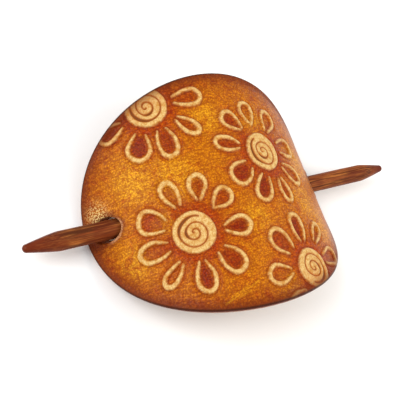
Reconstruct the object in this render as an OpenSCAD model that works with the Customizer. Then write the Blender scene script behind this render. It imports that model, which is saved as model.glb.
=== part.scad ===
// Hair barrette: an oval of thick leather bent to an arch, with a wooden stick
// that passes through a hole near each end of the oval and holds the hair under the arch.
//
// Millimetres, +Z up. The arch lies on its two ends on Z = 0 with its crown up.
// X runs along the stick and Y across it. The origin is on the floor below the
// middle of the stick; the leather sits stick_shift to its left.
//
// The leather is drawn flat first, as u along the oval, v across it and w down from
// the outer face, and every flat point is then wrapped round the bend.

/* [Leather] */
// Length of the oval before bending, along the stick
leather_length = 116; // [100:1:140]
// Width of the oval, across the stick
leather_width = 83; // [60:1:110]
// Thickness of the leather
leather_thickness = 3.4; // [2.2:0.2:4.4]
// Radius of the bend at the outer face
bend_radius = 55.5; // [48:0.5:75]
// How far the burnished edge is rounded back from the rim
edge_round = 0.9; // [0.3:0.1:1.1]

/* [Holes] */
// Distance from each end of the oval to the middle of its hole, along the leather
hole_inset = 10; // [9:0.5:16]
// Gap between the stick and the wall of its hole, all round
hole_clearance = 0.85; // [0.3:0.05:1.5]

/* [Stick] */
// Diameter of the stick
stick_diameter = 6.4; // [4.8:0.1:7.6]
// Length of the stick, tip to tip
stick_length = 151; // [125:1:200]
// How far the stick stands further out of the right hole than of the left one
stick_shift = 4; // [0:0.5:10]
// Length of the taper at each end
taper_length = 12; // [6:0.5:18]
// Diameter of the tip before it is rounded
tip_diameter = 2.4; // [1.2:0.1:4]

/* [Smoothness] */
// Segments round the rim of the oval
rim_segments = 96; // [48:12:180]
// Segments of the rounded edge
edge_segments = 3; // [2:1:6]

/* [Hidden] */
half_length = leather_length / 2;
half_width = leather_width / 2;

// The edge's profile, from the outer face to the inner one: [inset from the rim, depth].
// Each corner is a quarter of an ellipse, edge_round back and a third of the thickness deep.
corner_depth = leather_thickness / 3;
edge_profile = concat(
    [for (i = [0 : edge_segments])
        let (a = 90 * i / edge_segments)
        [edge_round * (1 - sin(a)), corner_depth * (1 - cos(a))]],
    [for (i = [edge_segments : -1 : 0])
        let (a = 90 * i / edge_segments)
        [edge_round * (1 - sin(a)), leather_thickness - corner_depth * (1 - cos(a))]]);

// The lowest points of the edge, at the oval's two ends, stand on the floor,
// which sets the height of the bend's centre
bend_centre_z = -min([for (p = edge_profile)
    (bend_radius - p[1]) * cos(to_angle(half_length - p[0]))]);

// The stick crosses the middle of the leather's thickness at each hole
hole_angle = to_angle(half_length - hole_inset);
stick_z = bend_centre_z + (bend_radius - leather_thickness / 2) * cos(hole_angle);
hole_diameter = stick_diameter + 2 * hole_clearance;

stick_radius = stick_diameter / 2;
tip_radius = tip_diameter / 2;
tip_steps = 6;
round_fn = 96;

// Leather and wood colours
leather_colour = [0.72, 0.36, 0.12];
wood_colour = [0.36, 0.19, 0.10];

// Piece to draw

// Angle of the bend, in degrees, reached by going u along the outer face
function to_angle(u) = u / bend_radius * 180 / PI;

// A flat point wrapped round the bend
function bent(u, v, w) =
    [(bend_radius - w) * sin(to_angle(u)) - stick_shift,
     v,
     bend_centre_z + (bend_radius - w) * cos(to_angle(u))];

// The bent oval, as one ring of points per step of the edge's profile
module bent_oval() {
    rings = len(edge_profile);
    n = rim_segments;
    points = [for (p = edge_profile, i = [0 : n - 1])
        let (a = 360 * i / n)
        bent((half_length - p[0]) * cos(a), (half_width - p[0]) * sin(a), p[1])];
    // Both faces are strips across the oval, each one flat between two lines of the bend
    outer_face = [for (i = [0 : n / 2 - 1])
        strip(i, n)];
    inner_face = [for (i = [0 : n / 2 - 1])
        reversed([for (k = strip(i, n)) k + (rings - 1) * n])];
    edge = [for (r = [0 : rings - 2], i = [0 : n - 1])
        let (a = r * n + i, b = r * n + (i + 1) % n)
        each [[a, b + n, b], [a, a + n, b + n]]];
    polyhedron(points, concat(outer_face, inner_face, edge), convexity = 4);
}

// Corners of the strip between rim points i and i + 1 and the two opposite them
function strip(i, n) =
    i == 0 ? [0, 1, n - 1] :
    i == n / 2 - 1 ? [i, i + 1, i + 2] :
    [i, i + 1, n - i - 1, n - i];

function reversed(list) = [for (i = [len(list) - 1 : -1 : 0]) list[i]];

// Arched leather oval with the stick's two holes
module leather_plate() {
    color(leather_colour)
    difference() {
        bent_oval();
        // One straight bore in line with the stick opens both holes
        translate([-stick_shift, 0, stick_z])
        rotate([0, 90, 0])
        cylinder(d = hole_diameter, h = leather_length, center = true, $fn = round_fn);
    }
}

// One end of the stick's outline, from the shoulder to the tip: [radius, distance from the middle]
stick_end = concat(
    [[stick_radius, stick_length / 2 - taper_length]],
    [for (i = [0 : tip_steps])
        let (a = 90 * i / tip_steps)
        [tip_radius * cos(a), stick_length / 2 - tip_radius * (1 - sin(a))]]);

// Round stick, tapered to a small rounded tip at both ends
module hair_stick() {
    left_end = [for (p = stick_end) [p[0], -p[1]]];
    color(wood_colour)
    translate([0, 0, stick_z])
    rotate([0, 90, 0])
    rotate_extrude($fn = round_fn)
    polygon(concat(reversed(left_end), stick_end));
}

leather_plate();
hair_stick();
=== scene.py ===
"""Looks of the leather hair barrette: the tooled leather oval, its wooden stick, floor and lights.

Flat leather is described in millimetres: u along the oval, v across it, w down from the
outer face. bend() wraps those three onto the arch, the same way the CAD part does.
"""

import math
from types import SimpleNamespace

import bpy
import numpy as np
from mathutils import Matrix, Vector


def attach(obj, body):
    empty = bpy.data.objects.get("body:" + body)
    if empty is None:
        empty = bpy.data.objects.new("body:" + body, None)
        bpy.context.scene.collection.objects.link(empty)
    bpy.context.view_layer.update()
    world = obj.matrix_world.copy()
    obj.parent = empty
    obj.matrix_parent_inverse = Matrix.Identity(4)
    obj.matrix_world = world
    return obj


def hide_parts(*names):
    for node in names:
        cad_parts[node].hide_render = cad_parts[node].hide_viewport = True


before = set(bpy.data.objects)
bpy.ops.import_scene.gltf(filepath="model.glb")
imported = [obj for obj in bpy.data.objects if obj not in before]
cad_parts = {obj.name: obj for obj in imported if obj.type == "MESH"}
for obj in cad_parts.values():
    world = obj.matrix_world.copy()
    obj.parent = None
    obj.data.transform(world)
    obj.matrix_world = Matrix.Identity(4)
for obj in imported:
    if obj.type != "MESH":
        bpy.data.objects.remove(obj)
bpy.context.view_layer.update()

MM = 0.001

# ---------------------------------------------------------------- sizes, as in the CAD part
HALF_LENGTH = 58.0
HALF_WIDTH = 41.5
THICKNESS = 3.4
BEND_RADIUS = 55.5
EDGE_ROUND = 0.9
EDGE_SEGMENTS = 3
CORNER_DEPTH = THICKNESS / 3
HOLE_INSET = 10.0
HOLE_CLEARANCE = 0.85
STICK_RADIUS = 3.2
STICK_LENGTH = 151.0
STICK_SHIFT = 4.0
TAPER_LENGTH = 12.0

BORE_RADIUS = STICK_RADIUS + HOLE_CLEARANCE
HOLE_ANGLE = (HALF_LENGTH - HOLE_INSET) / BEND_RADIUS


def smooth(low, high, x):
    """0 below low, 1 above high, smooth between them."""
    t = np.clip((x - low) / (high - low), 0.0, 1.0)
    return t * t * (3 - 2 * t)


def hump(x, middle, spread):
    """1 where x is middle, fading to 0 on both sides."""
    return np.exp(-(((x - middle) / spread) ** 2))


def edge_profile(steps):
    """The rim's upper and lower corners, each from top to bottom: (inset from the rim, depth)."""
    quarter = np.linspace(0, math.pi / 2, steps + 1)
    inset = EDGE_ROUND * (1 - np.sin(quarter))
    depth = CORNER_DEPTH * (1 - np.cos(quarter))
    return list(zip(inset, depth)), list(zip(inset[::-1], THICKNESS - depth[::-1]))


def to_floor():
    """Height of the bend's centre that puts the lowest point of the edge on the floor."""
    upper, lower = edge_profile(EDGE_SEGMENTS)
    heights = [
        (BEND_RADIUS - w) * math.cos((HALF_LENGTH - inset) / BEND_RADIUS)
        for inset, w in upper + lower
    ]
    return -min(heights)


CENTRE_Z = to_floor()
STICK_Z = CENTRE_Z + (BEND_RADIUS - THICKNESS / 2) * math.cos(HOLE_ANGLE)


def bend(u, v, w):
    """Flat leather points wrapped round the bend, in metres."""
    angle = u / BEND_RADIUS
    radius = BEND_RADIUS - w
    x = radius * np.sin(angle) - STICK_SHIFT
    z = CENTRE_Z + radius * np.cos(angle)
    return np.stack([x, v, z], axis=-1) * MM


def ripple(seed, wavelength, waves=16):
    """A smooth random field over (u, v) of about unit size, made of plane waves."""
    dice = np.random.default_rng(seed)
    turn = dice.uniform(0, 2 * np.pi, waves)
    pitch = 2 * np.pi / wavelength * dice.uniform(0.6, 1.4, waves)
    phase = dice.uniform(0, 2 * np.pi, waves)

    def field(u, v):
        total = np.zeros_like(u)
        for a, k, p in zip(turn, pitch, phase):
            total += np.sin(k * (u * np.cos(a) + v * np.sin(a)) + p)
        return total / math.sqrt(waves)

    return field


# ---------------------------------------------------------------- the pressed flowers
# Where each flower is pressed on the flat leather: middle (u, v) and turn in degrees.
FLOWERS = [
    (-22.2, -11.4, -1.5),
    (14.0, 10.0, 58),
    (-22.9, 33.8, 93),
    (16.0, -33.3, 184),
]
DISK_RADIUS = 7.15
FLOWER_RADIUS = 20.5
# One petal per row: inner end (radius, angle), outer end (radius, angle),
# overall width, and the gap left between the two sides at the inner end.
PETALS = [
    ((10.2, -8), (20.2, -6), 7.3, 1.6),
    ((10.4, 33.5), (19.8, 34), 7.2, 0.2),
    ((10.8, 64), (20.2, 69.5), 6.9, 1.0),
    ((9.9, 104), (19.8, 104), 6.0, 1.8),
    ((9.5, 148), (19.4, 149.5), 8.2, 3.2),
    ((9.3, 192), (20.0, 186), 6.7, 3.0),
    ((10.8, 229), (20.4, 225), 5.5, 1.4),
    ((9.6, 267), (20.5, 266), 6.9, 2.0),
    ((10.2, 311), (20.4, 306), 7.4, 3.4),
]
# How much dye took in each petal of each flower, from none (0) to full (1)
PETAL_DYE = [
    (1.0, 0.5, 0.8, 0.4, 0.7, 0.6, 0.3, 1.0, 0.9),
    (0.1, 0.3, 0.9, 0.8, 1.0, 1.0, 0.7, 0.4, 0.2),
    (0.7, 0.7, 0.7, 1.0, 1.0, 0.8, 0.7, 0.7, 0.7),
    (0.6, 0.6, 0.6, 0.6, 0.6, 0.2, 0.2, 1.0, 0.8),
]
# Half width of a petal's raised line at its round end and at its feet, and how much more
# slender the petal is towards its feet
BAND_HALF = 0.88
BAND_END = 0.34
PETAL_TAPER = 1.15


def petal_line(inner, outer, width, gap, steps=44):
    """Middle line of a petal's raised outline and its half width, in the flower's own plane."""
    ends = [
        np.array([r * math.cos(math.radians(a)), r * math.sin(math.radians(a))])
        for r, a in (inner, outer)
    ]
    axis = ends[1] - ends[0]
    length = np.hypot(*axis)
    axis /= length
    across = np.array([-axis[1], axis[0]])
    length -= BAND_HALF
    t = np.linspace(0, 2 * np.pi, steps + 1)
    side = np.where(t < np.pi, 1.0, -1.0)
    along = length * (1 - np.cos(t)) / 2
    fullness = np.abs(np.sin(t)) * np.sin(t / 2) ** PETAL_TAPER
    belly = (width / 2 - BAND_HALF) * fullness / fullness.max()
    mouth = (gap / 2) * np.cos(t / 2) ** 2
    sideways = side * (belly + mouth)
    points = ends[0] + along[:, None] * axis + sideways[:, None] * across
    half = BAND_END + (BAND_HALF - BAND_END) * np.sin(t / 2) ** 0.8
    return points, half


# The groove in the disk: where it starts and ends in degrees, its pitch, its first and its
# last radius, how far it drifts off the middle at the first one, and its half width
SPIRAL_START = 60
SPIRAL_END = 930
SPIRAL_PITCH = 2.3
SPIRAL_RADIUS = 5.8
SPIRAL_LAST = 0.25
SPIRAL_DRIFT = (0.13, -0.45)
GROOVE_HALF = 0.24
# Where the groove is wider: middle and spread in degrees along it, and the extra half width
GROOVE_WIDER = [(130, 48, 0.34), (540, 36, 0.28)]
# How far the stamped lines wander off their drawing, and over what length
WANDER = 0.12
WANDER_LENGTH = 9.0
# How far round a petal its distances are worked out, and a distance past all that shows
PETAL_REACH = 4
FAR = 40.0


def spiral_line(step=9):
    """Middle line of the spiral groove in a flower's disk and its half width."""
    turn = np.arange(SPIRAL_START, SPIRAL_END + step, step, dtype=float)
    radius = SPIRAL_RADIUS - SPIRAL_PITCH * (turn - SPIRAL_START) / 360
    radius = np.maximum(radius, SPIRAL_LAST)
    fade = radius / SPIRAL_RADIUS
    a = np.radians(turn)
    points = np.stack(
        [
            radius * np.cos(a) + SPIRAL_DRIFT[0] * fade,
            radius * np.sin(a) + SPIRAL_DRIFT[1] * fade,
        ],
        axis=-1,
    )
    half = GROOVE_HALF
    for middle, spread, extra in GROOVE_WIDER:
        half = half + extra * hump(turn, middle, spread)
    return points, half


def line_distance(points, line, half):
    """Distance from each point to the edge of a line of varying half width."""
    best = np.full(len(points), np.inf)
    for k in range(len(line) - 1):
        a, b = line[k], line[k + 1]
        ab = b - a
        t = np.clip(((points - a) @ ab) / (ab @ ab), 0, 1)
        gap = np.hypot(*(points - a - t[:, None] * ab).T)
        best = np.minimum(best, gap - (half[k] + t * (half[k + 1] - half[k])))
    return best


def inside(points, line):
    """Whether each point is inside the closed line."""
    odd = np.zeros(len(points), bool)
    x, y = points.T
    for (x0, y0), (x1, y1) in zip(line, np.roll(line, -1, axis=0)):
        crosses = (y0 > y) != (y1 > y)
        with np.errstate(divide="ignore", invalid="ignore"):
            cut = x0 + (y - y0) * (x1 - x0) / (y1 - y0)
        odd ^= crosses & (x < cut)
    return odd


def press_petal(made, flower, petal, dye):
    """Adds a petal to the distances made for points in its flower's own plane."""
    line, half = petal_line(*petal)
    low, high = line.min(0) - PETAL_REACH, line.max(0) + PETAL_REACH
    near = np.flatnonzero(np.all((flower > low) & (flower < high), axis=1))
    gap = line_distance(flower[near], line, half)
    made["band"][near] = np.minimum(made["band"][near], gap)
    closed = np.vstack([line, line[:1]])
    shut = line_distance(flower[near], closed, np.append(half, half[0]))
    # Always below 0 outside the petal, even on its line
    deep = np.where(inside(flower[near], line), shut, -np.abs(shut) - 0.01)
    made["dye"][near] = np.where(deep > made["well"][near], dye, made["dye"][near])
    made["well"][near] = np.maximum(made["well"][near], deep)


def pattern(u, v):
    """Distances in mm from flat points to the parts of the pressed pattern, by name.

    band, disk and groove are negative inside; well is positive inside a petal,
    whose share of dye is dye;
    flower is the distance from the middle of the nearest flower.
    """
    n = len(u)
    made = {k: np.full(n, FAR) for k in ("band", "disk", "groove", "flower")}
    made["well"] = np.full(n, -FAR)
    made["dye"] = np.zeros(n)
    wander_u = WANDER * ripple(11, WANDER_LENGTH)(u, v)
    wander_v = WANDER * ripple(12, WANDER_LENGTH)(u, v)
    spiral, spiral_half = spiral_line()
    for (cu, cv, turn), dyes in zip(FLOWERS, PETAL_DYE):
        a = math.radians(turn)
        du, dv = u + wander_u - cu, v + wander_v - cv
        flower = np.stack(
            [du * math.cos(a) + dv * math.sin(a), dv * math.cos(a) - du * math.sin(a)],
            axis=-1,
        )
        reach = np.hypot(*flower.T)
        made["flower"] = np.minimum(made["flower"], reach)
        made["disk"] = np.minimum(made["disk"], reach - DISK_RADIUS)
        near = np.flatnonzero(reach < DISK_RADIUS)
        made["groove"][near] = line_distance(flower[near], spiral, spiral_half)
        for petal, dye in zip(PETALS, dyes):
            # A petal of the stamp that would start off the leather isn't pressed
            reach, toward = petal[0][0], a + math.radians(petal[0][1])
            foot_u, foot_v = cu + reach * math.cos(toward), cv + reach * math.sin(toward)
            if math.hypot(foot_u / HALF_LENGTH, foot_v / HALF_WIDTH) <= 1:
                press_petal(made, flower, petal, dye)
    return made


# How far below the plain outer face the pressed leather lies, and what rises or sinks from
# there: raised lines, valleys beside them, petals, the flower as a whole, its disk, its groove
BASE_DEPTH = 0.25
BAND_RISE = 0.46
VALLEY_DEPTH = 0.26
WELL_DEPTH = 0.34
PRESS_DEPTH = 0.16
DISK_RISE = 0.42
GROOVE_DEPTH = 0.5
# How far from its line's edge each of these slopes starts and ends
BAND_SLOPE = (-0.45, 0.28)
WELL_SLOPE = (0.1, 1.1)
DISK_SLOPE = (-0.5, 0.25)
GROOVE_SLOPE = (-0.25, 0.3)
FLOWER_SLOPE = (FLOWER_RADIUS - 1, FLOWER_RADIUS + 4)
# Middle and spread of the valleys round the lines and round the disks
BAND_VALLEY = (0.45, 0.42)
DISK_VALLEY = (0.45, 0.45)
# Slight unevenness of the leather: seed, wavelength and size of each wave
UNEVEN = [(21, 26.0, 0.05), (22, 5.0, 0.02)]


def relief(u, v, found):
    """Height of the pressed surface above the plain outer face, in mm."""
    height = -BASE_DEPTH
    for seed, wavelength, size in UNEVEN:
        height = height + size * ripple(seed, wavelength)(u, v)
    band, disk = found["band"], found["disk"]
    height -= PRESS_DEPTH * (1 - smooth(*FLOWER_SLOPE, found["flower"]))
    height += BAND_RISE * (1 - smooth(*BAND_SLOPE, band))
    height -= VALLEY_DEPTH * hump(band, *BAND_VALLEY)
    height -= WELL_DEPTH * smooth(*WELL_SLOPE, found["well"])
    height += (DISK_RISE + PRESS_DEPTH) * (1 - smooth(*DISK_SLOPE, disk))
    height -= VALLEY_DEPTH * hump(disk, *DISK_VALLEY)
    height -= GROOVE_DEPTH * (1 - smooth(*GROOVE_SLOPE, found["groove"]))
    return height


# ---------------------------------------------------------------- the leather's mesh
# Each face is a grid of cells stretched over the oval, and the back's cells are COARSE times
# as wide. Round each hole a block of cells is left out: its first and last cell along u, then
# along v, for the left hole. Rings of points lead from the block in to the hole.
GRID_U, GRID_V = 320, 232
COARSE = 4
FRONT_BLOCK = (4, 44, 96, 136)
BACK_BLOCK = (2, 12, 24, 34)
BACK_INSET = 2.4
EDGE_STEPS = 4
# The hole's rounded lip, the rings round it, and how they crowd towards it
LIP = 0.5
FACE_RINGS = 9
CROWDING = 1.25
LIP_STEPS = 4
WALL_STEPS = 6
# Distances over which the relief fades in, from the rim and from the hole
RIM_FADE = (0.7, 2.6)
HOLE_FADE = (LIP, 2.2)


def disc_grid(nu, nv):
    """A grid of nu by nv cells stretched over the unit disc."""
    s, t = np.meshgrid(np.linspace(-1, 1, nu + 1), np.linspace(-1, 1, nv + 1), indexing="ij")
    return s * np.sqrt(1 - t * t / 2), t * np.sqrt(1 - s * s / 2)


def block_loop(i0, i1, j0, j1):
    """Grid positions round a block of cells, anticlockwise."""
    loop = [(i, j0) for i in range(i0, i1)] + [(i1, j) for j in range(j0, j1)]
    loop += [(i, j1) for i in range(i1, i0, -1)] + [(i0, j) for j in range(j1, j0, -1)]
    return loop


def mirrored(block, nu):
    """The same block round the right hole."""
    i0, i1, j0, j1 = block
    return nu - i1, nu - i0, j0, j1


def at(grid, places):
    """A grid's values at a list of its places."""
    return np.array([grid[p] for p in places])


class Shell:
    """Collects flat points, and the faces between them."""

    def __init__(self):
        self.points = []
        self.faces = []
        self.count = 0

    def add(self, u, v, w):
        """Adds points and returns their numbers, in the same shape."""
        u = np.asarray(u, float)
        flat = np.stack([u, np.broadcast_to(v, u.shape), np.broadcast_to(w, u.shape)], -1)
        numbers = self.count + np.arange(u.size).reshape(u.shape)
        self.points.append(flat.reshape(-1, 3))
        self.count += u.size
        return numbers

    def grid(self, numbers, holes, flip):
        """Quads over a grid of points, leaving out the blocks in holes."""
        nu, nv = numbers.shape[0] - 1, numbers.shape[1] - 1
        keep = np.ones((nu, nv), bool)
        for i0, i1, j0, j1 in holes:
            keep[i0:i1, j0:j1] = False
        i, j = np.nonzero(keep)
        quads = [numbers[i, j], numbers[i + 1, j], numbers[i + 1, j + 1], numbers[i, j + 1]]
        self.faces += np.stack(quads[::-1] if flip else quads, -1).tolist()

    def band(self, outer, inner, flip=False):
        """Quads between two rings with the same number of points."""
        quads = [outer, np.roll(outer, -1), np.roll(inner, -1), inner]
        self.faces += np.stack(quads[::-1] if flip else quads, -1).tolist()

    def fan(self, fine, coarse, flip=False):
        """Triangles between a ring and one with a quarter of its points."""
        for k in range(len(coarse)):
            f = [fine[(COARSE * k + m) % len(fine)] for m in range(COARSE + 1)]
            a, b = coarse[k], coarse[(k + 1) % len(coarse)]
            made = [(f[0], f[1], a), (f[1], f[2], a), (f[2], b, a)]
            made += [(f[2], f[3], b), (f[3], f[4], b)]
            self.faces += [t[::-1] if flip else t for t in made]


def bore_point(side, turn, w):
    """Where the bore's wall crosses depth w, at an angle round the bore."""
    z = STICK_Z - CENTRE_Z + BORE_RADIUS * np.sin(turn)
    u = side * BEND_RADIUS * np.arccos(z / (BEND_RADIUS - w))
    return u, BORE_RADIUS * np.cos(turn)


def bore_turn(side, u, v):
    """Angle round the bore that faces a flat point beside the hole."""
    top, _ = bore_point(side, math.pi / 2, 0.0)
    bottom, _ = bore_point(side, -math.pi / 2, 0.0)
    middle, half = (top + bottom) / 2, abs(top - bottom) / 2
    return np.arctan2(side * (middle - u) / half, v / BORE_RADIUS)


def add_face(shell, coarse, inset, depth, block, flip):
    """One face of the leather: its points' numbers, u and v, and its block round each hole."""
    nu, nv = GRID_U // coarse, GRID_V // coarse
    x, y = disc_grid(nu, nv)
    u, v = x * (HALF_LENGTH - inset), y * (HALF_WIDTH - inset)
    numbers = shell.add(u, v, depth)
    blocks = {-1: block, 1: mirrored(block, nu)}
    shell.grid(numbers, blocks.values(), flip)
    return numbers, u, v, blocks


def add_edge(shell, front, back):
    """The leather's edge, from the outer face round to the inner one."""
    rim = block_loop(0, GRID_U, 0, GRID_V)
    x, y = (at(side, rim) for side in disc_grid(GRID_U, GRID_V))
    ring = at(front, rim)
    upper, lower = edge_profile(EDGE_STEPS)
    for inset, w in upper[1:] + [(0.0, THICKNESS / 2)] + lower:
        further = shell.add(x * (HALF_LENGTH - inset), y * (HALF_WIDTH - inset), w)
        shell.band(ring, further, flip=True)
        ring = further
    coarse_rim = block_loop(0, GRID_U // COARSE, 0, GRID_V // COARSE)
    shell.fan(ring, at(back, coarse_rim), flip=True)


def add_hole(shell, side, front, back):
    """Rings from the front's block in to the hole, over its lip, down its wall and out behind."""
    numbers, u, v, blocks = front
    loop = block_loop(*blocks[side])
    start_u, start_v = at(u, loop), at(v, loop)
    turn = bore_turn(side, start_u, start_v)
    edge_u, edge_v = bore_point(side, turn, 0.0)
    out_u, out_v = start_u - edge_u, start_v - edge_v
    reach = np.hypot(out_u, out_v)
    out_u, out_v = out_u / reach, out_v / reach

    # Each ring's distance outside the bore, and its depth
    steps = []
    for k in range(1, FACE_RINGS + 1):
        steps.append((LIP + (reach - LIP) * (1 - k / FACE_RINGS) ** CROWDING, 0.0))
    for a in np.linspace(0, math.pi / 2, LIP_STEPS + 1)[1:]:
        steps.append((LIP * (1 - math.sin(a)), LIP * (1 - math.cos(a))))
    for w in np.linspace(LIP, THICKNESS - LIP / 2, WALL_STEPS + 1)[1:]:
        steps.append((0.0, w))

    ring = at(numbers, loop)
    for far, w in steps:
        edge_u, edge_v = bore_point(side, turn, w)
        further = shell.add(edge_u + out_u * far, edge_v + out_v * far, w)
        shell.band(ring, further)
        ring = further

    numbers, u, v, blocks = back
    loop = block_loop(*blocks[side])
    edge_u, edge_v = bore_point(side, turn, THICKNESS)
    out_u = np.repeat(at(u, loop), COARSE) - edge_u
    out_v = np.repeat(at(v, loop), COARSE) - edge_v
    reach = np.hypot(out_u, out_v)
    further = shell.add(
        edge_u + out_u / reach * LIP / 2, edge_v + out_v / reach * LIP / 2, THICKNESS
    )
    shell.band(ring, further)
    shell.fan(further, at(numbers, loop))


def leather_mesh():
    """Flat points and faces of the leather, without the points that no face uses."""
    shell = Shell()
    front = add_face(shell, 1, EDGE_ROUND, 0.0, FRONT_BLOCK, flip=False)
    back = add_face(shell, COARSE, BACK_INSET, THICKNESS, BACK_BLOCK, flip=True)
    add_edge(shell, front[0], back[0])
    for side in (-1, 1):
        add_hole(shell, side, front, back)

    flat = np.concatenate(shell.points)
    used = np.zeros(len(flat), bool)
    for face in shell.faces:
        used[list(face)] = True
    renumber = np.cumsum(used) - 1
    faces = [tuple(int(renumber[k]) for k in face) for face in shell.faces]
    return flat[used], faces


# Near the crown the face runs level with the bore, so its slope counts as at least this
LEAST_SLOPE = 0.3


def hole_distance(u, v):
    """Distance in mm along the outer face from flat points to the wall of the nearer bore."""
    height = CENTRE_Z + BEND_RADIUS * np.cos(u / BEND_RADIUS) - STICK_Z
    slope = np.maximum(np.abs(np.sin(u / BEND_RADIUS)), LEAST_SLOPE)
    stretch = np.where(np.abs(height) > np.abs(v), slope, 1.0)
    return (np.hypot(v, height) - BORE_RADIUS) / stretch


def rim_distance(u, v):
    """Distance in mm from flat points out to the oval's rim, closest near the rim itself."""
    share = np.sqrt((u / HALF_LENGTH) ** 2 + (v / HALF_WIDTH) ** 2)
    slope = np.hypot(u / HALF_LENGTH**2, v / HALF_WIDTH**2) + 1e-6
    return (1 - share) * share / slope


def new_object(name, points, faces, material):
    mesh = bpy.data.meshes.new(name)
    mesh.from_pydata(points.tolist(), [], faces)
    mesh.update()
    mesh.polygons.foreach_set("use_smooth", np.ones(len(mesh.polygons), bool))
    mesh.materials.append(material)
    made = bpy.data.objects.new(name, mesh)
    bpy.context.scene.collection.objects.link(made)
    return made


def write_floats(mesh, values):
    for name, numbers in values.items():
        attribute = mesh.attributes.new(name, "FLOAT", "POINT")
        attribute.data.foreach_set("value", np.asarray(numbers, np.float32))


# ---------------------------------------------------------------- node helpers
def linear(r, g, b):
    """A colour given as 0-255 screen values, as the linear colour that shaders use."""
    made = [c / 255 for c in (r, g, b)]
    return tuple(c / 12.92 if c <= 0.04045 else ((c + 0.055) / 1.055) ** 2.4 for c in made) + (1.0,)


class Graph:
    """Short ways to build a material's nodes."""

    def __init__(self, name):
        self.material = bpy.data.materials.new(name)
        self.material.use_nodes = True
        self.tree = self.material.node_tree
        self.tree.nodes.clear()
        self.place = self.node("ShaderNodeTexCoord").outputs["Object"]

    def node(self, kind, **settings):
        made = self.tree.nodes.new(kind)
        for key, value in settings.items():
            setattr(made, key, value)
        return made

    def feed(self, socket, value):
        if isinstance(value, bpy.types.NodeSocket):
            self.tree.links.new(value, socket)
        else:
            socket.default_value = value

    def read(self, name):
        return self.node("ShaderNodeAttribute", attribute_name=name).outputs["Fac"]

    def sum(self, operation, a, b=0.0):
        made = self.node("ShaderNodeMath", operation=operation)
        for socket, value in zip(made.inputs, (a, b)):
            self.feed(socket, value)
        return made.outputs[0]

    def times(self, a, b):
        return self.sum("MULTIPLY", a, b)

    def plus(self, a, b):
        return self.sum("ADD", a, b)

    def fade(self, value, low, high, to_low=0.0, to_high=1.0):
        """to_low where value is low or less, to_high where it is high or more, smooth between."""
        made = self.node("ShaderNodeMapRange", interpolation_type="SMOOTHSTEP")
        for key, number in (
            ("Value", value),
            ("From Min", low),
            ("From Max", high),
            ("To Min", to_low),
            ("To Max", to_high),
        ):
            self.feed(made.inputs[key], number)
        return made.outputs["Result"]

    def mix(self, factor, a, b, blend="MIX"):
        made = self.node("ShaderNodeMix", data_type="RGBA", blend_type=blend)
        self.feed(made.inputs["Factor"], factor)
        self.feed([s for s in made.inputs if s.name == "A" and s.type == "RGBA"][0], a)
        self.feed([s for s in made.inputs if s.name == "B" and s.type == "RGBA"][0], b)
        return [s for s in made.outputs if s.type == "RGBA"][0]

    def stretched(self, x, y, z, place=None):
        """Places for a pattern to be drawn out along the axes whose factor is below 1."""
        made = self.node("ShaderNodeVectorMath", operation="MULTIPLY")
        self.feed(made.inputs[0], place or self.place)
        made.inputs[1].default_value = (x, y, z)
        return made.outputs[0]

    def noise(self, size, detail=3.0, roughness=0.5, distortion=0.0, place=None):
        """Noise whose features are about size millimetres across."""
        made = self.node("ShaderNodeTexNoise")
        self.feed(made.inputs["Vector"], place or self.place)
        made.inputs["Scale"].default_value = 1 / (size * MM)
        made.inputs["Detail"].default_value = detail
        made.inputs["Roughness"].default_value = roughness
        made.inputs["Distortion"].default_value = distortion
        return made.outputs["Fac"]

    def cells(self, size, place=None):
        """Distance from the middle of the nearest of many cells, about size millimetres wide."""
        made = self.node("ShaderNodeTexVoronoi")
        self.feed(made.inputs["Vector"], place or self.place)
        made.inputs["Scale"].default_value = 1 / (size * MM)
        return made.outputs["Distance"]

    def bump(self, height, strength, distance):
        made = self.node("ShaderNodeBump")
        made.inputs["Strength"].default_value = strength
        made.inputs["Distance"].default_value = distance * MM
        self.feed(made.inputs["Height"], height)
        return made.outputs["Normal"]

    def surface(self, colour, roughness, normal, **constants):
        shader = self.node("ShaderNodeBsdfPrincipled")
        self.feed(shader.inputs["Base Color"], colour)
        self.feed(shader.inputs["Roughness"], roughness)
        self.feed(shader.inputs["Normal"], normal)
        for key, value in constants.items():
            shader.inputs[key.replace("_", " ")].default_value = value
        out = self.node("ShaderNodeOutputMaterial")
        self.tree.links.new(shader.outputs[0], out.inputs["Surface"])
        return self.material


# ---------------------------------------------------------------- the leather's colours
AMBER = linear(194, 116, 6)
HONEY = linear(218, 152, 22)
TAN = linear(178, 84, 2)
RUSSET = linear(162, 55, 0)
MAROON = linear(100, 26, 4)
EDGE_DYE = linear(136, 48, 4)
PETAL_RED = linear(152, 44, 2)
GROOVE_BROWN = linear(108, 56, 14)
CREAM = linear(218, 186, 121)
STRAW = linear(188, 133, 59)
UMBER = linear(96, 38, 8)
DARK = linear(52, 22, 12)
BORE = linear(176, 84, 42)
LIP_HIGHLIGHT = linear(224, 168, 120)
BURNISHED = linear(150, 84, 50)
FLESH = linear(184, 140, 98)
FLESH_DARK = linear(142, 98, 62)
# What a colour is multiplied by between the grain's pebbles, and on top of them
CREASE = (0.55, 0.38, 0.25, 1.0)
PEBBLE_TOP = (1.3, 1.42, 1.6, 1.0)


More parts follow.
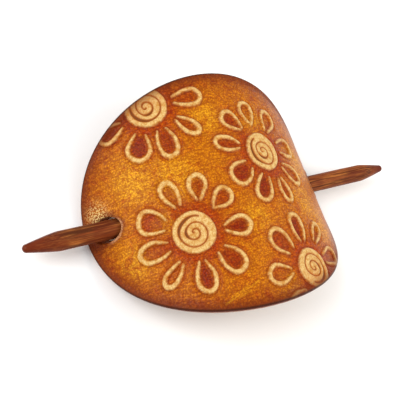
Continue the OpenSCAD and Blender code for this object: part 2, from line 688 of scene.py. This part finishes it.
def leather_noises(g):
    """The leather's random patterns, from the widest to the finest, and its darker rim."""
    flat = g.node("ShaderNodeAttribute", attribute_name="flat").outputs["Vector"]
    n = SimpleNamespace(
        clouds=g.noise(4.5, 4.0, 0.62, 0.8),
        mottle=g.noise(1.4, 4.0, 0.65),
        brushed=g.noise(0.65, 3.0, 0.6, 0.5, place=g.stretched(0.22, 1.0, 1.0, flat)),
        fine=g.noise(0.46, 2.0, 0.6),
        grain=g.cells(0.7),
    )
    n.by_rim = g.fade(g.plus(g.read("rim"), g.times(n.clouds, -9.0)), -4.5, 5.0, 1.0, 0.0)
    return n


def dyed(g, n):
    """The dyed top, lighter in patches of thin dye and painted sheen, and darker where the stain
    gathers.
    """
    cloud = g.sum("SUBTRACT", n.clouds, 0.5)
    # Lighter where the dye is rubbed thin and where a sheen is painted in
    rubbed_and_sheen = g.fade(g.plus(g.read("rubbed_and_sheen"), g.times(cloud, 1.8)), 0.05, 0.95)
    colour = g.mix(rubbed_and_sheen, AMBER, HONEY)
    colour = g.mix(g.fade(n.clouds, 0.46, 0.7, 0.0, 0.9), colour, TAN)
    colour = g.mix(g.fade(n.clouds, 0.3, 0.5, 0.45, 0.0), colour, RUSSET)

    # Round the lines and the disk of each flower
    near_flower = g.plus(g.read("flower"), g.times(n.clouds, 6.0))
    near_flower = g.fade(near_flower, 19.0, 25.0, 1.0, 0.0)
    near_band = g.fade(g.read("band"), 0.0, 2.6, 1.0, 0.0)
    near_disk = g.fade(g.read("disk"), 1.5, 6.5, 1.0, 0.0)
    stain = g.sum("MAXIMUM", g.times(near_band, 0.7), near_disk)
    stain = g.times(g.times(stain, near_flower), g.fade(n.mottle, 0.3, 0.65, 1.0, 0.65))
    # Less stain in those lighter patches, painted sheen among them
    stain = g.times(stain, g.fade(g.read("rubbed_and_sheen"), 0.2, 1.0, 1.0, 0.55))
    colour = g.mix(stain, colour, RUSSET)

    # In the petals, most in their middle
    well = g.fade(g.read("well"), 0.0, 1.2)
    in_well = g.times(g.times(well, g.read("dye")), g.fade(n.mottle, 0.36, 0.64, 1.0, 0.7))
    colour = g.mix(in_well, colour, PETAL_RED)
    deepest = g.fade(g.plus(g.read("dye"), g.times(n.mottle, 0.6)), 0.9, 1.5, 0.0, 0.45)
    colour = g.mix(g.times(well, deepest), colour, MAROON)

    # Along the rim and round the holes; below the left hole, stain with the stick's painted shadow
    colour = g.mix(g.times(n.by_rim, 0.8), colour, EDGE_DYE)
    hole = g.times(g.fade(g.read("hole"), 0.0, 3.0, 1.0, 0.0), 0.8)
    # Stain and painted shadow of the stick below the left hole
    hole = g.sum("MAXIMUM", hole, g.times(g.read("stain_and_shadow"), 0.75))
    return g.mix(hole, colour, MAROON)


def grained(g, n, colour):
    """Grain: darker between the pebbles, lighter on top of them."""
    crease = g.mix(1.0, colour, CREASE, "MULTIPLY")
    colour = g.mix(g.fade(n.brushed, 0.5, 0.66, 0.0, 0.85), colour, crease)
    colour = g.mix(g.fade(n.grain, 0.35, 0.75, 0.0, 0.75), colour, crease)
    colour = g.mix(g.fade(n.fine, 0.4, 0.55, 0.75, 0.0), colour, crease)
    top = g.mix(1.0, colour, PEBBLE_TOP, "MULTIPLY")
    colour = g.mix(g.fade(n.fine, 0.48, 0.66, 0.0, 0.65), colour, top)
    return g.mix(g.fade(n.brushed, 0.36, 0.5, 0.7, 0.0), colour, top)


def scratches_and_glints(g, n, colour):
    """Light scratches, and pale flecks beside the left hole that are painted glints on the grain.
    """
    scratch = g.fade(g.read("scratch"), -0.2, 0.4, 1.0, 0.0)
    scratch = g.times(scratch, g.fade(n.fine, 0.4, 0.6, 0.2, 0.8))
    colour = g.mix(g.times(scratch, 0.8), colour, HONEY)
    # Painted glints: pale flecks on the grain beside the left hole
    glint_flecks = g.times(g.read("painted_glints"), g.fade(n.fine, 0.47, 0.55))
    return g.mix(glint_flecks, colour, CREAM)


def pale_lines_and_lip_highlight(g, n, colour):
    """The raised lines and disks rubbed back to pale leather, and a painted highlight on the lip of
    the hole.
    """
    # Darker at the foot of what is raised
    raised = g.sum("MINIMUM", g.read("band"), g.read("disk"))
    foot = g.sum("ABSOLUTE", g.sum("SUBTRACT", raised, 0.3))
    foot = g.times(g.fade(foot, 0.0, 0.4, 0.45, 0.0), g.fade(n.mottle, 0.35, 0.65, 0.3, 1.0))
    colour = g.mix(foot, colour, MAROON)

    # What is raised, with uneven borders
    pale = g.mix(g.fade(n.mottle, 0.4, 0.7), CREAM, STRAW)
    pale = g.mix(g.fade(n.fine, 0.38, 0.52, 0.7, 0.0), pale, STRAW)
    pale = g.mix(g.times(n.by_rim, 0.35), pale, TAN)
    wobble = g.times(g.sum("SUBTRACT", n.mottle, 0.5), 0.8)
    line = g.fade(g.plus(raised, wobble), -0.6, 0.2, 1.0, 0.0)
    colour = g.mix(g.times(line, 0.95), colour, pale)

    # The spiral groove, with softer borders than its middle
    groove = g.read("groove")
    colour = g.mix(g.times(g.fade(groove, -0.15, 0.3, 1.0, 0.0), 0.85), colour, TAN)
    colour = g.mix(g.fade(groove, -0.35, 0.1, 0.9, 0.0), colour, GROOVE_BROWN)

    # Painted highlight on one side of each hole's lip
    lip = g.times(g.fade(g.read("hole"), 0.5, 1.3, 1.0, 0.0), g.read("lip"))
    lip = g.times(lip, g.fade(n.fine, 0.4, 0.6, 0.25, 0.6))
    return g.mix(lip, colour, LIP_HIGHLIGHT)


def edge_and_back(g, n, colour, back):
    """The dark corner of the rim, the raw edge and bore, and the flesh side behind."""
    depth = g.read("depth")
    corner = g.fade(g.plus(g.read("rim"), g.times(n.mottle, 2.5)), 1.3, 5.5, 0.75, 0.0)
    colour = g.mix(corner, colour, UMBER)
    colour = g.mix(g.fade(g.read("rim"), 0.4, 1.1, 0.85, 0.0), colour, DARK)
    fibres = g.noise(0.5, 4.0, 0.7, place=g.stretched(1.0, 1.0, 3.0))
    raw = g.mix(g.fade(fibres, 0.3, 0.7), BURNISHED, FLESH)
    raw = g.mix(g.fade(depth, 0.8, 1.8, 1.0, 0.0), raw, MAROON)
    # Near the hole the wall is made light enough to lift the shade inside it: painted light
    raw = g.mix(g.fade(g.read("hole"), 1.5, 3.0, 0.85, 0.0), raw, BORE)
    colour = g.mix(g.fade(depth, 0.3, 0.8), colour, raw)
    suede = g.mix(g.fade(g.noise(1.6, 5.0, 0.7), 0.3, 0.7), FLESH, FLESH_DARK)
    return g.mix(back, colour, suede)


def leather_material():
    g = Graph("tooled_leather")
    n = leather_noises(g)
    back = g.fade(g.read("depth"), THICKNESS - 0.5, THICKNESS - 0.05)
    colour = scratches_and_glints(g, n, grained(g, n, dyed(g, n)))
    colour = edge_and_back(g, n, pale_lines_and_lip_highlight(g, n, colour), back)

    pebbles = g.sum("SUBTRACT", 1.0, g.sum("POWER", n.grain, 2.0))
    height = g.plus(g.times(pebbles, 0.6), g.times(n.fine, 0.5))
    height = g.plus(height, g.times(g.plus(n.mottle, n.brushed), 0.4))
    roughness = g.fade(n.mottle, 0.3, 0.7, 0.3, 0.46)
    return g.surface(
        colour,
        g.mix(back, roughness, (0.9, 0.9, 0.9, 1.0)),
        g.bump(height, 1.0, 0.17),
        Specular_IOR_Level=0.09,
        Sheen_Weight=0.12,
        Sheen_Roughness=0.35,
        Sheen_Tint=(1.0, 0.86, 0.7, 1.0),
    )


# ---------------------------------------------------------------- wear, stains and painted light on the leather
# Lighter patches, middle (u, v) and radius: partly dye rubbed thin, partly painted sheen; the two
# at u = 35 are painted sheen
RUBBED_AND_SHEEN = [
    (-22, 7, 9),
    (-35, 11, 8),
    (-43, -14, 6),
    (-29, -6, 5),
    (-5, 25, 6),
    (0, -12, 5),
    (15, 20, 7),
    (27, -9, 7),
    (35, 6, 8),
    (35, -18, 8),
    (3, -37, 7),
]


def patch(u, v, centre_u, centre_v, radius):
    """A soft round patch on the leather: 1 in its middle, fading to 0."""
    return np.exp(-((u - centre_u) ** 2 + (v - centre_v) ** 2) / radius**2)


# Beside the left hole, as (u, v, radius): painted glints on the grain, and a dark patch of stain
# and painted stick shadow
PAINTED_GLINTS = (-50.8, 5.8, 3.7)
STAIN_AND_SHADOW = (-53.5, -4.0, 3.4)
# Which side of a hole's lip gets the painted highlight, in degrees from the side towards the crown
LIP_TURN = -35.0

# Light scratches low on the left, as (end, other end, half width)
SCRATCHES = [
    ((-20.8, -36.4), (-7.8, -32.6), 0.16),
    ((-18.5, -34.9), (-12.0, -33.2), 0.08),
    ((-16.0, -35.9), (-11.5, -34.7), 0.10),
]


def scratch_distance(u, v):
    """Distance in mm from flat points to the edge of the nearest scratch."""
    points = np.stack([u, v], -1)
    far = np.full(len(u), FAR)
    near = np.flatnonzero((u < 0) & (v < -25))  # none of them lies outside this corner
    for end, other, half in SCRATCHES:
        line = np.array([end, other])
        far[near] = np.minimum(far[near], line_distance(points[near], line, (half, half)))
    return far


def lip_highlight_side(u, v):
    """How much painted highlight the lip of the nearer hole gets on this side of it, from 0 to 1.
    """
    turn = np.arctan2(v, HALF_LENGTH - HOLE_INSET - np.abs(u))
    return smooth(0.1, 0.8, np.cos(turn - math.radians(LIP_TURN)))


def make_leather():
    flat, faces = leather_mesh()
    u, v, w = flat.T
    found = pattern(u, v)
    rim = rim_distance(u, v)
    hole = hole_distance(u, v)
    height = relief(u, v, found)
    height *= smooth(*RIM_FADE, rim) * smooth(*HOLE_FADE, hole)
    # Only the outer face, where w is 0, is pressed
    face = 1 - smooth(0.0, 0.05, w)
    points = bend(u, v, w - height * face)
    made = new_object("leather_oval", points, faces, leather_material())
    attribute = made.data.attributes.new("flat", "FLOAT_VECTOR", "POINT")
    attribute.data.foreach_set("vector", (flat * MM).astype(np.float32).ravel())
    write_floats(
        made.data,
        {
            **found,
            "rim": rim,
            "rubbed_and_sheen": np.max([patch(u, v, *light) for light in RUBBED_AND_SHEEN], axis=0),
            "painted_glints": patch(u, v, *PAINTED_GLINTS),
            "stain_and_shadow": patch(u, v, *STAIN_AND_SHADOW),
            "scratch": scratch_distance(u, v),
            "lip": lip_highlight_side(u, v),
            "hole": hole,
            "depth": w,
        },
    )
    return made


# ---------------------------------------------------------------- stick
AROUND = 96
BODY_STATIONS = 150
TAPER_STATIONS = 18
TIP_STATIONS = 9
# Depth of the slight ridges that shaping by hand left along the grain, and how many lie
# round the stick in each of the waves that add up to them
RIDGE = 0.007
RIDGE_COUNTS = range(4, 16)
# The hand-shaped taper is a little fuller than a straight cone, with a blunter tip
SHOULDER_CURVE = 1.2
BLUNT_TIP = 1.4

BROWN = linear(132, 64, 24)
LIGHT = linear(172, 102, 46)
DEEP = linear(74, 34, 12)
RED = linear(92, 28, 10)


def wood_material():
    g = Graph("stained_wood")
    long_grain = g.stretched(0.04, 1.0, 1.0)
    rings = g.noise(1.5, 3.0, 0.55, 0.6, place=long_grain)
    streaks = g.noise(0.45, 4.0, 0.6, place=long_grain)
    pores = g.cells(0.5, place=g.stretched(0.07, 1.0, 1.0))
    colour = g.mix(g.fade(rings, 0.35, 0.65), DEEP, BROWN)
    colour = g.mix(g.fade(streaks, 0.45, 0.7), colour, LIGHT)
    colour = g.mix(g.fade(g.noise(9, 2.0), 0.4, 0.65, 0.0, 0.5), colour, RED)
    pore = g.fade(pores, 0.12, 0.3, 1.0, 0.0)
    colour = g.mix(g.times(pore, 0.6), colour, DEEP)
    colour = g.mix(g.fade(g.read("tip"), 0.0, 1.0, 0.0, 0.8), colour, RED)
    height = g.plus(g.times(streaks, 0.7), g.times(pore, -0.6))
    roughness = g.fade(streaks, 0.3, 0.7, 0.5, 0.65)
    roughness = g.mix(g.read("tip"), roughness, (0.3, 0.3, 0.3, 1.0))
    return g.surface(colour, roughness, g.bump(height, 0.5, 0.05), Specular_IOR_Level=0.1)


def stick_outline():
    """The stick's outline from end to end, as places along it and their radii."""
    half = STICK_LENGTH / 2
    shoulder = half - TAPER_LENGTH
    right = []
    for part in np.linspace(0, 1, TAPER_STATIONS)[1:]:
        x = shoulder + part * (TAPER_LENGTH - BLUNT_TIP)
        right.append((x, STICK_RADIUS + part**SHOULDER_CURVE * (BLUNT_TIP - STICK_RADIUS)))
    for a in np.linspace(0, math.pi / 2, TIP_STATIONS)[1:-1]:
        right.append((half - BLUNT_TIP * (1 - math.sin(a)), BLUNT_TIP * math.cos(a)))
    left = [(-x, r) for x, r in right[::-1]]
    body = [(x, STICK_RADIUS) for x in np.linspace(-shoulder, shoulder, BODY_STATIONS)]
    return np.array(left + body + right).T


def ridges(x, a):
    """Slight ridges along the grain, over places along the stick and angles round it."""
    dice = np.random.default_rng(31)
    total = np.zeros(np.broadcast_shapes(x.shape, a.shape))
    for count in RIDGE_COUNTS:
        phase = dice.uniform(0, 2 * np.pi)
        pace = dice.uniform(0.01, 0.03)
        swing = dice.uniform(0, 6)
        total += np.sin(count * a + phase + swing * np.sin(pace * x)) * np.sin(pace * x + swing)
    return total


def make_stick():
    x, r = (side[:, None] for side in stick_outline())
    a = np.linspace(0, 2 * np.pi, AROUND, endpoint=False)[None, :]
    # The ridges only cut into the round, so that the stick still fits its holes
    r = np.minimum(r + RIDGE * ridges(x, a) * (r / STICK_RADIUS), r)
    points = np.stack([x + 0 * a, r * np.cos(a), STICK_Z + r * np.sin(a)], -1)
    rows = len(points)
    index = np.arange(rows * AROUND).reshape(rows, AROUND)
    after = np.roll(index, -1, axis=1)
    faces = np.stack([index[:-1], after[:-1], after[1:], index[1:]], -1).reshape(-1, 4).tolist()
    half = STICK_LENGTH / 2
    points = np.vstack([points.reshape(-1, 3), [[-half, 0, STICK_Z], [half, 0, STICK_Z]]])
    left_end, right_end = rows * AROUND, rows * AROUND + 1
    for m in range(AROUND):
        faces.append((left_end, int(after[0, m]), int(index[0, m])))
        faces.append((right_end, int(index[-1, m]), int(after[-1, m])))
    made = new_object("wooden_stick", points * MM, faces, wood_material())
    # Dark polish at both ends
    polish = smooth(half - TAPER_LENGTH - 2, half, np.abs(points[:, 0]))
    write_floats(made.data, {"tip": polish})
    return made


leather = make_leather()
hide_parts("leather_plate")
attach(leather, "plate")

stick = make_stick()
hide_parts("hair_stick")
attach(stick, "stick")


# ---------------------------------------------------------------- floor, lights and camera
def floor_material():
    g = Graph("pale_floor")
    tone = g.mix(g.noise(60, 2.0), (0.93, 0.93, 0.93, 1.0), (0.95, 0.95, 0.95, 1.0))
    normal = g.bump(g.noise(2.0, 2.0), 0.02, 0.02)
    return g.surface(tone, 0.7, normal, Specular_IOR_Level=0.2)


FLOOR_RINGS = (200.0, 1500.0)
FLOOR_DROP = 0.02


def make_floor():
    around = 64
    a = np.linspace(0, 2 * np.pi, around, endpoint=False)
    rings = [np.stack([r * np.cos(a), r * np.sin(a), 0 * a], -1) for r in FLOOR_RINGS]
    points = np.vstack([[[0, 0, 0]]] + rings)
    faces = [(0, 1 + k, 1 + (k + 1) % around) for k in range(around)]
    for k in range(around):
        b = (k + 1) % around
        faces.append((1 + k, 1 + around + k, 1 + around + b, 1 + b))
    return new_object("floor", points * MM, faces, floor_material())


floor = make_floor()
floor.location.z = -FLOOR_DROP * MM

# Degrees, then millimetres
CAMERA_AZIMUTH = -64.78
CAMERA_ELEVATION = 55.68
CAMERA_ROLL = 47.87
CAMERA_DISTANCE = 267.2
CAMERA_AIM = (-17.1, -0.4, 20.8)
CAMERA_LENS = 72.9


def camera_axes():
    """The camera's right, up and backward directions."""
    a, e, roll = (math.radians(d) for d in (CAMERA_AZIMUTH, CAMERA_ELEVATION, CAMERA_ROLL))
    back = Vector((math.sin(a) * math.cos(e), -math.cos(a) * math.cos(e), math.sin(e)))
    level_up = (Vector((0, 0, 1)) - back * back.z).normalized()
    level_right = level_up.cross(back)
    up = level_up * math.cos(roll) - level_right * math.sin(roll)
    right = level_up * math.sin(roll) + level_right * math.cos(roll)
    return right, up, back


def axes_matrix(right, up, back, place):
    """The matrix that puts an object with these axes at a place."""
    turn = Matrix((right, up, back)).transposed().to_4x4()
    return Matrix.Translation(place) @ turn


right, up, back = camera_axes()
aim = Vector(CAMERA_AIM) * MM
camera = bpy.data.objects.new("camera", bpy.data.cameras.new("camera"))
bpy.context.scene.collection.objects.link(camera)
camera.matrix_world = axes_matrix(right, up, back, aim + back * CAMERA_DISTANCE * MM)
camera.data.lens = CAMERA_LENS
camera.data.sensor_width = 36.0
camera.data.clip_start = 0.01
bpy.context.scene.camera = camera

# What the lights shine at
LIGHT_AIM = Vector((0, 0, 15)) * MM


def softbox(name, direction, distance, size, power, colour=(1.0, 1.0, 1.0)):
    """A square area light, given by its direction seen from the camera: right, up, towards it."""
    toward = (right * direction[0] + up * direction[1] + back * direction[2]).normalized()
    light = bpy.data.lights.new(name, "AREA")
    light.shape = "SQUARE"
    light.size = size * MM
    light.energy = power
    light.color = colour
    made = bpy.data.objects.new(name, light)
    bpy.context.scene.collection.objects.link(made)
    made.location = LIGHT_AIM + toward * distance * MM
    made.rotation_mode = "QUATERNION"
    made.rotation_quaternion = toward.to_track_quat("Z", "Y")


softbox("key_light", (-0.36, 0.32, 0.88), 600, 320, 2.3)
softbox("side_light", (0.95, 0.1, 0.3), 500, 300, 1.2, (1.0, 0.9, 0.78))

world = bpy.data.worlds.new("studio")
world.use_nodes = True
sky = world.node_tree.nodes["Background"]
sky.inputs["Color"].default_value = (1.0, 1.0, 1.0, 1.0)
sky.inputs["Strength"].default_value = 0.75
bpy.context.scene.world = world
bpy.context.scene.view_settings.view_transform = "Standard"
bpy.context.scene.view_settings.look = "None"
